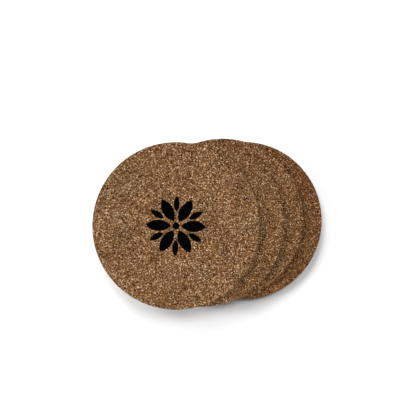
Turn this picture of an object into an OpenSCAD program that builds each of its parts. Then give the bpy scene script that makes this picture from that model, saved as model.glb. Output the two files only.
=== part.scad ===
// A set of four round cork drink coasters, fanned out in a loose pile on a table.
// Each coaster is a disc stamped from agglomerated cork sheet, with its edges lightly eased.
// A rosette is screen printed in black ink at the middle of each upper face. The ink soaks into
// the cork and dries flush, so that the next coaster and a glass both sit on a flat face.
// The coasters lie loose on each other, each pushed a little off the one below.

/* [Coaster] */
// Diameter of a coaster
coaster_d = 95; // [80:1:120]
// Thickness of the cork sheet that the coasters are stamped from
coaster_t = 4; // [3:0.5:8]
// Radius of the eased edge, round the upper and the lower face
edge_r = 0.3; // [0.2:0.1:1.2]

/* [Fan] */
// How far the second coaster is pushed off the bottom one
second_push = 12.4; // [2:0.1:20]
// Direction of that push, in degrees from the right
second_heading = 175; // [120:1:240]
// How far the third coaster is pushed off the second
third_push = 12.5; // [2:0.1:20]
// Direction of that push, in degrees from the right
third_heading = 195; // [120:1:240]
// How far the top coaster is pushed off the third
top_push = 14.6; // [2:0.1:20]
// Direction of that push, in degrees from the right
top_heading = 182; // [120:1:240]

/* [Printed rosette] */
// Diameter of the circle that the tips of the long petals touch
rosette_d = 34; // [28:1:60]
// Number of long petals, which is also the number of short ones between them
petal_count = 6; // [4:1:8]
// Width of a long petal at its middle
long_petal_w = 6.4; // [3:0.1:8]
// Length of a short petal
short_petal_l = 9; // [4:0.5:12]
// Width of a short petal at its middle
short_petal_w = 3.4; // [1.5:0.1:4]
// Diameter of the dot in the middle
centre_dot_d = 4; // [2:0.5:8]
// Bare cork between the dot and the long petals
dot_gap = 0.9; // [0.4:0.1:2]
// Depth that the ink soaks into the cork
ink_depth = 0.15; // [0.05:0.05:0.5]

/* [Hidden] */
// How far a cutting shape runs past the face that it cuts
overrun = 1;
$fn = 96;

coaster_r = coaster_d / 2;
rosette_r = rosette_d / 2;
long_petal_start = centre_dot_d / 2 + dot_gap;
long_petal_l = rosette_r - long_petal_start;
petal_step = 360 / petal_count;

// Each push as a step across the table, from the coaster below
function step(push, heading) = push * [cos(heading), sin(heading)];
second_place = step(second_push, second_heading);
third_place = second_place + step(third_push, third_heading);
top_place = third_place + step(top_push, top_heading);

// Centres of the coasters from the bottom up, and the middle of the box round the pile
pile = [[0, 0], second_place, third_place, top_place];
function middle(values) = (min(values) + max(values)) / 2;
pile_middle = [middle([for (place = pile) place[0]]), middle([for (place = pile) place[1]])];

// How each coaster happens to be turned, from the bottom up, in degrees
turns = [19, -8, 31, -2];

BOTTOM = 0;
SECOND = 1;
THIRD = 2;
TOP = 3;

// Puts a coaster's own shape at its level and place in the pile
module in_pile(level) {
    translate([each pile[level] - pile_middle, level * coaster_t])
        rotate(turns[level])
            children();
}

// Half the cross-section of a coaster, with both edges rounded
module coaster_section() {
    flat_r = coaster_r - edge_r;
    square([flat_r, coaster_t]);
    translate([0, edge_r])
        square([coaster_r, coaster_t - 2 * edge_r]);
    for (z = [edge_r, coaster_t - edge_r])
        translate([flat_r, z])
            circle(edge_r);
}

// A leaf-shaped petal along +X, bounded by two equal arcs that meet in a point at each end
module petal(start, length, width, depth) {
    arc_r = (length * length + width * width) / (4 * width);
    arc_offset = arc_r - width / 2;
    translate([start + length / 2, 0, 0])
        intersection() {
            translate([0, arc_offset, 0])
                cylinder(r = arc_r, h = depth);
            translate([0, -arc_offset, 0])
                cylinder(r = arc_r, h = depth);
        }
}

// The rosette: a dot, a ring of long petals, and a short petal in each gap
module rosette(depth) {
    cylinder(d = centre_dot_d, h = depth);
    for (i = [0 : petal_count - 1]) {
        rotate(i * petal_step)
            petal(long_petal_start, long_petal_l, long_petal_w, depth);
        rotate((i + 0.5) * petal_step)
            petal(rosette_r - short_petal_l, short_petal_l, short_petal_w, depth);
    }
}

// A cork disc, with the stretch of its upper face that the ink has filled left free
module cork_disc() {
    difference() {
        rotate_extrude()
            coaster_section();
        translate([0, 0, coaster_t - ink_depth])
            rosette(ink_depth + overrun);
    }
}

// The dried ink, flush with the upper face of its coaster
module ink() {
    translate([0, 0, coaster_t - ink_depth])
        rosette(ink_depth);
}

module bottom_coaster() {
    color("#704F32") in_pile(BOTTOM) cork_disc();
}

module second_coaster() {
    color("#7A593D") in_pile(SECOND) cork_disc();
}

module third_coaster() {
    color("#7B5A3D") in_pile(THIRD) cork_disc();
}

module top_coaster() {
    color("#836243") in_pile(TOP) cork_disc();
}

module bottom_print() {
    color("#0B0A0C") in_pile(BOTTOM) ink();
}

module second_print() {
    color("#0B0A0C") in_pile(SECOND) ink();
}

module third_print() {
    color("#0B0A0C") in_pile(THIRD) ink();
}

module top_print() {
    color("#0B0A0C") in_pile(TOP) ink();
}

bottom_coaster();
second_coaster();
third_coaster();
top_coaster();
bottom_print();
second_print();
third_print();
top_print();
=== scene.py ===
import math

import bpy
import numpy as np
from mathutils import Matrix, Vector


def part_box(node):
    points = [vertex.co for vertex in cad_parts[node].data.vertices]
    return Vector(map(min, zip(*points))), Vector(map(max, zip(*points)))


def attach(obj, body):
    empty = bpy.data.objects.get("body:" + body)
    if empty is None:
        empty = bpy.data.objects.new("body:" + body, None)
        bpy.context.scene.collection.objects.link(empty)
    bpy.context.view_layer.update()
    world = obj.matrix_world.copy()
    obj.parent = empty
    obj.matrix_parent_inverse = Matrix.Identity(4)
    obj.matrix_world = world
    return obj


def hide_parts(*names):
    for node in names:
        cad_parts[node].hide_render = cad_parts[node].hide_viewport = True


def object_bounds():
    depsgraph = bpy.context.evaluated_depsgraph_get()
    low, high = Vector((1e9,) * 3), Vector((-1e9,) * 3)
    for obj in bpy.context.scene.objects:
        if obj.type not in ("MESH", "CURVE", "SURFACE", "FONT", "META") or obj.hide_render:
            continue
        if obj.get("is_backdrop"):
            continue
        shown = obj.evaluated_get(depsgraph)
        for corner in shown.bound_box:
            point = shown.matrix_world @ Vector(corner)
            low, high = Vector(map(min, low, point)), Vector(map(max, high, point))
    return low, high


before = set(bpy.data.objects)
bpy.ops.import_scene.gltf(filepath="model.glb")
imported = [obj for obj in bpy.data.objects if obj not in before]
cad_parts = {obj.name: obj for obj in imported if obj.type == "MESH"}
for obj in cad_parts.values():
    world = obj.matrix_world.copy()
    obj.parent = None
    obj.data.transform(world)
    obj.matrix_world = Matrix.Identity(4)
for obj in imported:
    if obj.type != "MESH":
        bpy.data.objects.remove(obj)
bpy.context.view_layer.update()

# Cork coasters
# Each is a disc stamped from sheet of agglomerated cork: bark ground to granules, pressed with a little
# binder into a block and sliced. The edges are lightly eased, and the discs lie loose on each other.
MM = 0.001
LEVELS = ("bottom", "second", "third", "top")
EDGE_RADIUS = 0.3 * MM
EDGE_ROWS = 2
EDGE_HOLD = 0.08 * MM  # a row of points this close to the edge keeps the face flat up to it
MESH_SPACING = 0.43 * MM  # carries the larger granules as relief
JITTER_SHARE = 0.22  # points stray by this share of the spacing, so that the rings don't show
SECTORS = 6  # a ring has this many points more than the one inside it


def band(small, large):
    """Triangles between two rings, each given as (first vertex, vertices in a sector)."""
    first, few = small
    other, many = large
    sector = np.arange(SECTORS)[:, None]

    def on_ring(start, count, steps):
        return start + (sector * count + steps) % max(1, SECTORS * count)

    k = np.arange(many)[None, :]
    outward = np.stack([on_ring(first, few, k), on_ring(other, many, k), on_ring(other, many, k + 1)], -1)
    k = np.arange(few)[None, :]
    inward = np.stack([on_ring(first, few, k), on_ring(other, many, k + 1), on_ring(first, few, k + 1)], -1)
    return np.concatenate([outward.reshape(-1, 3), inward.reshape(-1, 3)])


def disc_mesh(name, middle, radius, thickness, seed):
    """A closed disc with eased edges, in rings of nearly even triangles, centred on middle."""
    flat = radius - EDGE_RADIUS
    steps = round(flat / MESH_SPACING)
    wall = thickness - 2 * EDGE_RADIUS
    wall_rows = round(wall / MESH_SPACING)
    upper = [(flat * i / steps, thickness / 2, i) for i in range(steps)]
    upper += [(flat - EDGE_HOLD, thickness / 2, steps), (flat, thickness / 2, steps)]
    for i in range(1, EDGE_ROWS + 1):
        turn = math.radians(90 * i / EDGE_ROWS)
        upper.append((flat + EDGE_RADIUS * math.sin(turn), wall / 2 + EDGE_RADIUS * math.cos(turn), steps))
    heights = [wall / 2 - wall * i / wall_rows for i in range(1, wall_rows)]
    heights = [wall / 2 - EDGE_HOLD, *heights, EDGE_HOLD - wall / 2]
    between = [(radius, z, steps) for z in heights]
    lower = [(r, -z, count) for r, z, count in reversed(upper)]
    draws = np.random.default_rng(seed)
    points = []
    rings = []
    for r, z, count in upper + between + lower:
        around = max(1, SECTORS * count)
        angle = np.arange(around) * 2 * math.pi / around
        ring = np.stack([r * np.cos(angle), r * np.sin(angle), np.full(around, z)], -1)
        if r < flat - EDGE_HOLD:
            ring[:, :2] += draws.uniform(-1, 1, (around, 2)) * JITTER_SHARE * MESH_SPACING
        rings.append((sum(map(len, points)), count))
        points.append(ring)
    faces = []
    for here, after in zip(rings, rings[1:]):
        shrinks = after[1] < here[1]
        faces.append(band(after, here)[:, ::-1] if shrinks else band(here, after))
    mesh = bpy.data.meshes.new(name)
    mesh.from_pydata(np.concatenate(points) + middle, [], np.concatenate(faces))
    return mesh


def linear(hex_colour):
    """An sRGB hex colour as linear RGB."""
    parts = [int(hex_colour[i:i + 2], 16) / 255 for i in (1, 3, 5)]
    return np.array([c / 12.92 if c <= 0.04045 else ((c + 0.055) / 1.055) ** 2.4 for c in parts])


def add(tree, kind, inputs=None, **settings):
    """Adds a node. inputs maps a socket's name or number to a value, or to a socket that is linked in."""
    node = tree.nodes.new(kind)
    for name, value in settings.items():
        setattr(node, name, value)
    for key, value in (inputs or {}).items():
        if isinstance(value, bpy.types.NodeSocket):
            tree.links.new(value, node.inputs[key])
        else:
            node.inputs[key].default_value = value
    return node


GRAINS_MM = (0.48, 0.3, 0.2)  # whole granules, crumbs and dust, which is drawn this coarse so that it shows
BROKEN_SHARES = (0.65, 0.5, 0)  # how much of each is ground to the next
TONE_SPREADS = (1, 0.9, 0.7)  # how far the tones of each spread round the middle one
MIDDLE_TONE = 0.5
PRESSED_FLAT = 1.5  # granules are wider than they are thick
BEND_MM = 1.0  # granules aren't straight sided
BEND_REACH_MM = 0.5
BEND_DETAIL = 1.0
JOINT_MM = 0.07
PIT_STARTS_SHARE = 0.1  # granules below this share are sunk, and those below the next have fallen out
PIT_FULL_SHARE = 0.05


def cork_grain(tree, place):
    """The granules of the pressed block at a place in metres, for the relief and the colours alike."""
    mm = add(tree, "ShaderNodeVectorMath", {0: place, "Scale": 1 / MM}, operation="SCALE").outputs[0]
    waves = {"Vector": mm, "Scale": 1 / BEND_MM, "Detail": BEND_DETAIL}
    bend = add(tree, "ShaderNodeTexNoise", waves).outputs["Color"]
    bending = {0: bend, 1: [BEND_REACH_MM] * 3, 2: mm}
    bent = add(tree, "ShaderNodeVectorMath", bending, operation="MULTIPLY_ADD").outputs[0]
    pressing = {0: bent, 1: (1, 1, PRESSED_FLAT)}
    pressed = add(tree, "ShaderNodeVectorMath", pressing, operation="MULTIPLY").outputs[0]
    grain = None
    broken = 1.0
    for size, share, spread in zip(GRAINS_MM, BROKEN_SHARES, TONE_SPREADS):
        inputs = {"Vector": pressed, "Scale": 1 / size}
        cell = add(tree, "ShaderNodeTexVoronoi", inputs).outputs["Color"]
        draws = add(tree, "ShaderNodeSeparateXYZ", {0: cell}).outputs
        edge = add(tree, "ShaderNodeTexVoronoi", inputs, feature="DISTANCE_TO_EDGE").outputs["Distance"]
        gap = add(tree, "ShaderNodeMath", {0: edge, 1: size}, operation="MULTIPLY").outputs[0]
        tones = {0: draws[0], 3: MIDDLE_TONE - spread / 2, 4: MIDDLE_TONE + spread / 2}
        tone = add(tree, "ShaderNodeMapRange", tones).outputs[0]
        finer = [tone, draws[1], gap]
        if grain:
            pairs = zip(grain, finer)
            finer = [add(tree, "ShaderNodeMix", {0: broken, 2: old, 3: new}).outputs[0] for old, new in pairs]
        grain = finer
        falls = add(tree, "ShaderNodeMath", {0: draws[2], 1: share}, operation="LESS_THAN").outputs[0]
        broken = add(tree, "ShaderNodeMath", {0: falls, 1: broken}, operation="MULTIPLY").outputs[0]
    tone, speck, gap = grain
    sinking = {0: speck, 1: PIT_STARTS_SHARE, 2: PIT_FULL_SHARE}
    pit = add(tree, "ShaderNodeMapRange", sinking, interpolation_type="SMOOTHSTEP").outputs[0]
    rising = {0: gap, 2: JOINT_MM}
    height = add(tree, "ShaderNodeMapRange", rising, interpolation_type="SMOOTHSTEP").outputs[0]
    return {"mm": mm, "tone": tone, "pit": pit, "height": height}


# The relief: grooves between the granules, granules that stand a little lower, and pits where one fell out
GROOVE_DEPTH = 0.04 * MM
GRANULE_STEP = 0.06 * MM
PIT_DEPTH = 0.16 * MM

relief = bpy.data.node_groups.new("cork_relief", "GeometryNodeTree")
relief.interface.new_socket("Geometry", in_out="INPUT", socket_type="NodeSocketGeometry")
relief.interface.new_socket("Geometry", in_out="OUTPUT", socket_type="NodeSocketGeometry")
grain = cork_grain(relief, add(relief, "GeometryNodeInputPosition").outputs[0])
sunk = add(relief, "ShaderNodeMapRange", {0: grain["height"], 3: -GROOVE_DEPTH, 4: 0.0}).outputs[0]
for share, depth in ((grain["tone"], GRANULE_STEP), (grain["pit"], PIT_DEPTH)):
    sunk = add(relief, "ShaderNodeMath", {0: share, 1: -depth, 2: sunk}, operation="MULTIPLY_ADD").outputs[0]
normal = add(relief, "GeometryNodeInputNormal").outputs[0]
offset = add(relief, "ShaderNodeVectorMath", {0: normal, "Scale": sunk}, operation="SCALE").outputs[0]
start = add(relief, "NodeGroupInput").outputs[0]
moved = add(relief, "GeometryNodeSetPosition", {"Geometry": start, "Offset": offset}).outputs[0]
add(relief, "NodeGroupOutput", {0: moved})

TONES = (
    (0, "#1C0400"), (0.33, "#471300"),  # bark
    (0.36, "#92643A"), (0.74, "#9C7042"),  # plain cork
    (0.78, "#F3CA9E"), (1, "#FFDDB9"),  # straw
)
JOINT_SHADE = 0.55
# Pits are darkened: partly dark specks of bark, partly painted shade in the hollows
PIT_SPECK_AND_PAINTED_SHADE = 0.45
# A thin band at the rim, and the wall, are painted darker: painted shade at the edge
RIM_WIDTH = 0.35 * MM
PAINTED_RIM_SHADE = 0.88
PATCH_MM = 12
PATCH_DETAIL = 2.0
PATCH_RANGE = 0.12
OLIVE_CAST = (0.975, 1.005, 0.995)  # factors on red, green and blue
RUDDY_CAST = (1.04, 0.99, 0.96)
NOISE_LOW = 0.3  # nearly all of a noise lies between these
NOISE_HIGH = 0.7
CORK_BUMP = 0.06 * MM
CORK_BUMP_STRENGTH = 0.8
CORK_ROUGHNESS = 0.9
CORK_GLOSS = 0.08


def cork_material(name, tint_and_shade, middle, radius):
    """Agglomerated cork, sanded: matt, with granules from straw to bark brown, dark joints and small pits.
    Its colour drifts in patches. The pits are darker, partly as dark specks and partly as painted shade, and
    a thin band at the rim and the wall are darkened as painted shade."""
    material = bpy.data.materials.new(name)
    material.use_nodes = True
    tree = material.node_tree
    tree.nodes.clear()
    place = add(tree, "ShaderNodeTexCoord").outputs["Object"]
    grain = cork_grain(tree, place)
    ramp = add(tree, "ShaderNodeValToRGB", {0: grain["tone"]})
    stops = ramp.color_ramp.elements
    while len(stops) < len(TONES):
        stops.new(MIDDLE_TONE)
    for stop, (position, tone) in zip(stops, TONES):
        stop.position = position
        # The tint holds the sheet's own tone, and painted shade on the lower coasters
        stop.color = [*linear(tone) * linear(tint_and_shade), 1]
    waves = {"Vector": grain["mm"], "Scale": 1 / PATCH_MM, "Detail": PATCH_DETAIL}
    noise = add(tree, "ShaderNodeTexNoise", waves).outputs["Color"]
    patch = add(tree, "ShaderNodeSeparateXYZ", {0: noise}).outputs
    ruddy = add(tree, "ShaderNodeMapRange", {0: patch[1], 1: NOISE_LOW, 2: NOISE_HIGH}).outputs[0]
    casts = {0: ruddy, 6: (*OLIVE_CAST, 1), 7: (*RUDDY_CAST, 1)}
    cast = add(tree, "ShaderNodeMix", casts, data_type="RGBA").outputs[2]
    colour = add(tree, "ShaderNodeVectorMath", {0: ramp.outputs[0], 1: cast}, operation="MULTIPLY").outputs[0]
    across = add(tree, "ShaderNodeVectorMath", {0: place, 1: middle}, operation="SUBTRACT").outputs[0]
    level = add(tree, "ShaderNodeVectorMath", {0: across, 1: (1, 1, 0)}, operation="MULTIPLY").outputs[0]
    reach = add(tree, "ShaderNodeVectorMath", {0: level}, operation="LENGTH").outputs["Value"]
    for value, first, last, at_first, at_last in (
            (grain["height"], 0, 1, JOINT_SHADE, 1),
            (grain["pit"], 0, 1, 1, PIT_SPECK_AND_PAINTED_SHADE),
            (reach, radius - RIM_WIDTH, radius, 1, PAINTED_RIM_SHADE),
            (patch[0], NOISE_LOW, NOISE_HIGH, 1 - PATCH_RANGE, 1 + PATCH_RANGE)):
        shading = {0: value, 1: first, 2: last, 3: at_first, 4: at_last}
        shade = add(tree, "ShaderNodeMapRange", shading).outputs[0]
        colour = add(tree, "ShaderNodeVectorMath", {0: colour, "Scale": shade}, operation="SCALE").outputs[0]
    ridges = {"Height": grain["height"], "Distance": CORK_BUMP, "Strength": CORK_BUMP_STRENGTH}
    bump = add(tree, "ShaderNodeBump", ridges).outputs[0]
    finish = {
        "Base Color": colour, "Normal": bump,
        "Roughness": CORK_ROUGHNESS, "Specular IOR Level": CORK_GLOSS,
    }
    shader = add(tree, "ShaderNodeBsdfPrincipled", finish)
    add(tree, "ShaderNodeOutputMaterial", {"Surface": shader.outputs[0]})
    return material


def shaped(piece):
    """Gives a piece the mesh that its modifiers make of it, and takes them off."""
    bpy.context.view_layer.update()
    mesh = bpy.data.meshes.new_from_object(piece.evaluated_get(bpy.context.evaluated_depsgraph_get()))
    piece.modifiers.clear()
    piece.data = mesh


# What the tones of each coaster are multiplied by: partly its own sheet's shade, partly painted shade that is
# darker the lower the coaster lies
SHEET_TINTS_AND_PAINTED_SHADE = {"bottom": "#E0D1C0", "second": "#EEE8E0", "third": "#F1EBE2", "top": "#FEFCF6"}
coasters = {}
for seed, level in enumerate(LEVELS):
    low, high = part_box(level + "_coaster")
    middle = (low + high) / 2
    radius = (high.x - low.x) / 2
    mesh = disc_mesh(level + "_cork", middle, radius, high.z - low.z, seed)
    cork = bpy.data.objects.new(level + "_cork", mesh)
    bpy.context.scene.collection.objects.link(cork)
    cork.modifiers.new("relief", "NODES").node_group = relief
    shaped(cork)
    cork.data.materials.append(cork_material(level + "_agglomerated_cork", SHEET_TINTS_AND_PAINTED_SHADE[level], middle, radius))
    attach(cork, level)
    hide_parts(level + "_coaster")
    coasters[level] = cork

# Printed rosettes
# Black screen-printing ink in the middle of each upper face. It soaks into the cork and dries flush,
# so it follows the granules, fills their pits and lies in the shallow bed that the solids leave for it.
LEAST_INK = 0.03 * MM  # over the deepest pits
WELD = 0.0005 * MM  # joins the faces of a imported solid, so that it can cut
SHARP_ANGLE = math.radians(50)
INK_IN_JOINTS = "#000000"
INK_ON_GRANULES = "#040404"
ROUGH_IN_JOINTS = 0.85
ROUGH_ON_GRANULES = 0.65
INK_BUMP = 0.04 * MM
INK_BUMP_STRENGTH = 0.6
INK_GLOSS = 0.01


def ink_material():
    """Dried screen-printing ink: near black and matt, a little shinier on the granules' tops."""
    material = bpy.data.materials.new("screen_printing_ink")
    material.use_nodes = True
    tree = material.node_tree
    tree.nodes.clear()
    grain = cork_grain(tree, add(tree, "ShaderNodeTexCoord").outputs["Object"])
    blacks = {0: grain["tone"], 6: (*linear(INK_IN_JOINTS), 1), 7: (*linear(INK_ON_GRANULES), 1)}
    colour = add(tree, "ShaderNodeMix", blacks, data_type="RGBA").outputs[2]
    drying = {0: grain["height"], 3: ROUGH_IN_JOINTS, 4: ROUGH_ON_GRANULES}
    rough = add(tree, "ShaderNodeMapRange", drying).outputs[0]
    ridges = {"Height": grain["height"], "Distance": INK_BUMP, "Strength": INK_BUMP_STRENGTH}
    bump = add(tree, "ShaderNodeBump", ridges).outputs[0]
    finish = {"Base Color": colour, "Normal": bump, "Roughness": rough, "Specular IOR Level": INK_GLOSS}
    shader = add(tree, "ShaderNodeBsdfPrincipled", finish)
    add(tree, "ShaderNodeOutputMaterial", {"Surface": shader.outputs[0]})
    return material


def vectors(items, name):
    """The named vector of each item of a mesh, as rows of an array."""
    values = np.empty(len(items) * 3)
    items.foreach_get(name, values)
    return values.reshape(-1, 3)


# The map that a coaster's textures are baked on: the upper face is a large circle, the underside a smaller
# one, and the wall a strip for each sector, in shares of the map
UPPER_SHARES = (0.36, 0.64, 0.356)  # middle across, middle up and radius
UNDER_SHARES = (0.779, 0.221, 0.217)  # the same
STRIP_CORNER_SHARE = 0.004  # margin to the corner of the map
STRIP_STEP_SHARE = 0.0455
STRIP_LENGTH_SHARE = 0.52
STEEP = 0.5  # a face is steep where the upward part of its normal is less than this


def lay_out(cork, middle, radius):
    """Lays a coaster's faces out on that map."""
    mesh = cork.data
    sides = np.empty(len(mesh.polygons), np.int32)
    mesh.polygons.foreach_get("loop_total", sides)
    face = np.repeat(np.arange(len(sides)), sides)
    corner = np.empty(len(mesh.loops), np.int32)
    mesh.loops.foreach_get("vertex_index", corner)
    place = (vectors(mesh.vertices, "co") - middle)[corner]
    centre = (vectors(mesh.polygons, "center") - middle)[face]
    normal = vectors(mesh.polygons, "normal")[face]
    steep = np.abs(normal[:, 2]) < STEEP
    upper = np.where(steep, centre[:, 2], normal[:, 2]) > 0
    across, up, size = np.where(upper[:, None], UPPER_SHARES, UNDER_SHARES).T
    side = np.where(upper, 1, -1)
    spots = np.stack([across + side * place[:, 0] / radius * size, up + place[:, 1] / radius * size], -1)
    arc = 2 * math.pi / SECTORS
    sector = np.arctan2(centre[:, 1], centre[:, 0]) // arc
    turn = np.arctan2(place[:, 1], place[:, 0]) - sector * arc
    turn = (turn + math.pi) % (2 * math.pi) - math.pi
    scale = STRIP_LENGTH_SHARE / arc
    strip_middle = (sector % SECTORS + 0.5) * STRIP_STEP_SHARE
    strips = np.stack([turn * scale, strip_middle + place[:, 2] / radius * scale], -1)
    outward = normal[:, 0] * centre[:, 0] + normal[:, 1] * centre[:, 1] > 0
    on_wall = steep & outward & (np.hypot(centre[:, 0], centre[:, 1]) > radius - 2 * EDGE_RADIUS)
    spots[on_wall] = strips[on_wall] + STRIP_CORNER_SHARE
    mesh.uv_layers.new(name="OFBake").data.foreach_set("uv", spots.ravel())


ink_finish = ink_material()
for level in LEVELS:
    cork = coasters[level]
    low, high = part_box(level + "_coaster")
    middle = (low + high) / 2
    radius = (high.x - low.x) / 2
    low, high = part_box(level + "_print")
    points = vectors(cork.data.vertices, "co")
    reach = np.hypot(points[:, 0] - middle.x, points[:, 1] - middle.y)
    printed = (reach < high.x - middle.x + MESH_SPACING) & (points[:, 2] > low.z - PIT_DEPTH)
    points[printed, 2] = np.maximum(points[printed, 2], low.z + LEAST_INK)
    cork.data.vertices.foreach_set("co", points.ravel())
    bed = bpy.data.objects.new("bed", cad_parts[level + "_print"].data.copy())
    bpy.context.scene.collection.objects.link(bed)
    bed.modifiers.new("weld", "WELD").merge_threshold = WELD
    shaped(bed)
    ink = bpy.data.objects.new(level + "_rosette_ink", cork.data.copy())
    bpy.context.scene.collection.objects.link(ink)
    for piece, operation in ((ink, "INTERSECT"), (cork, "DIFFERENCE")):
        cut = piece.modifiers.new("cut", "BOOLEAN")
        cut.object = bed
        cut.operation = operation
        cut.solver = "MANIFOLD"
        finish = piece.data.materials[0] if piece is cork else ink_finish
        shaped(piece)
        piece.data.materials.clear()
        piece.data.materials.append(finish)
        piece.data.shade_smooth()
        piece.data.set_sharp_from_angle(angle=SHARP_ANGLE)
    bpy.data.objects.remove(bed)
    lay_out(cork, middle, radius)
    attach(ink, level)
    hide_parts(level + "_print")

# Floor
# A plain matt white table top that runs out of sight. It isn't part of the object, which rests on it
# under its own weight.
FLOOR_SIZE = 4.0
FLOOR_DROP = 0.02 * MM  # keeps it clear of the underside
FLOOR_WHITE = "#E6E6E6"
half = FLOOR_SIZE / 2
corners = [(x, y, -FLOOR_DROP) for x, y in ((-half, -half), (half, -half), (half, half), (-half, half))]
floor_mesh = bpy.data.meshes.new("floor")
floor_mesh.from_pydata(corners, [], [(0, 1, 2, 3)])
floor = bpy.data.objects.new("floor", floor_mesh)
bpy.context.scene.collection.objects.link(floor)
floor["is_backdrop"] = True
white = bpy.data.materials.new("matt_white_table")
white.use_nodes = True
surface = white.node_tree.nodes["Principled BSDF"].inputs
surface["Base Color"].default_value = [*linear(FLOOR_WHITE), 1]
surface["Roughness"].default_value = 1.0
surface["Specular IOR Level"].default_value = 0.0
floor_mesh.materials.append(white)

# Light
# A soft overhead studio: an even white sky, a wide soft box overhead, and lamps from the left and upper left.
# These lamps leave the floor out. It has four of its own, which cast the short, deep shadow along the lower
# edge that the photograph shows.
SKY = 0.2
world = bpy.data.worlds.new("studio")
world.use_nodes = True
bpy.context.scene.world = world
tree = world.node_tree
tree.nodes.clear()
path = add(tree, "ShaderNodeLightPath").outputs
seen = path["Is Camera Ray"]
for ray in ("Is Glossy Ray", "Is Transmission Ray"):
    seen = add(tree, "ShaderNodeMath", {0: seen, 1: path[ray]}, operation="MAXIMUM").outputs[0]
strength = add(tree, "ShaderNodeMapRange", {0: seen, 3: SKY, 4: 1.0}).outputs[0]
back = add(tree, "ShaderNodeBackground", {"Color": (1, 1, 1, 1), "Strength": strength})
add(tree, "ShaderNodeOutputWorld", {"Surface": back.outputs[0]})

no_floor = bpy.data.collections.new("all_but_the_floor")
no_floor.objects.link(floor)
no_floor.collection_objects[0].light_linking.link_state = "EXCLUDE"
only_floor = bpy.data.collections.new("floor_alone")
only_floor.objects.link(floor)
# Each lamp: its name, the way to it, the share of full brightness that it gives a level white face, its
# spread in degrees and what it lights
for name, towards, share, spread, lit in (
        ("overhead_box", (0, 0, 1), 0.43, 32, no_floor),
        ("left_lamp", (-1.15, 0, 1), 0.17, 14, no_floor),
        ("upper_left_lamp", (-0.8, 0.9, 1), 0.2, 16, no_floor),
        ("low_left_floor_lamp", (-2.8, 0.4, 1), 0.38, 14, only_floor),
        ("upper_left_floor_lamp", (-0.95, 0.85, 1), 0.29, 19, only_floor),
        ("low_upper_floor_lamp", (-0.8, 2.9, 1), 0.35, 33, only_floor),
        ("upper_right_floor_lamp", (0.35, 0.7, 1), 0.41, 23, only_floor)):
    way = Vector(towards).normalized()
    sun = bpy.data.lights.new(name, "SUN")
    sun.energy = math.pi * share / way.z
    sun.angle = math.radians(spread)
    lamp = bpy.data.objects.new(name, sun)
    bpy.context.scene.collection.objects.link(lamp)
    lamp.rotation_mode = "QUATERNION"
    lamp.rotation_quaternion = way.to_track_quat("Z", "Y")
    lamp.light_linking.receiver_collection = lit

# Camera
# Straight above, as in the photograph, a little behind the middle of the pile.
CAMERA_HEIGHT = 185.1 * MM
TOP_TO_AXIS = (19.185 * MM, 9.0 * MM)  # from the middle of the top coaster
FOCAL_PX = 327.5  # focal length, in pixels of the photograph
PHOTO_PX = 420
SENSOR_WIDTH = 36
NEAREST = 10 * MM
low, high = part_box("top_coaster")
middle = (low + high) / 2
lens = bpy.data.cameras.new("camera")
lens.sensor_width = SENSOR_WIDTH
lens.lens = SENSOR_WIDTH * FOCAL_PX / PHOTO_PX
lens.clip_start = NEAREST
camera = bpy.data.objects.new("camera", lens)
bpy.context.scene.collection.objects.link(camera)
camera.location = (middle.x + TOP_TO_AXIS[0], middle.y + TOP_TO_AXIS[1], high.z + CAMERA_HEIGHT)
bpy.context.scene.camera = camera
bpy.context.scene.view_settings.view_transform = "Standard"

low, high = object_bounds()
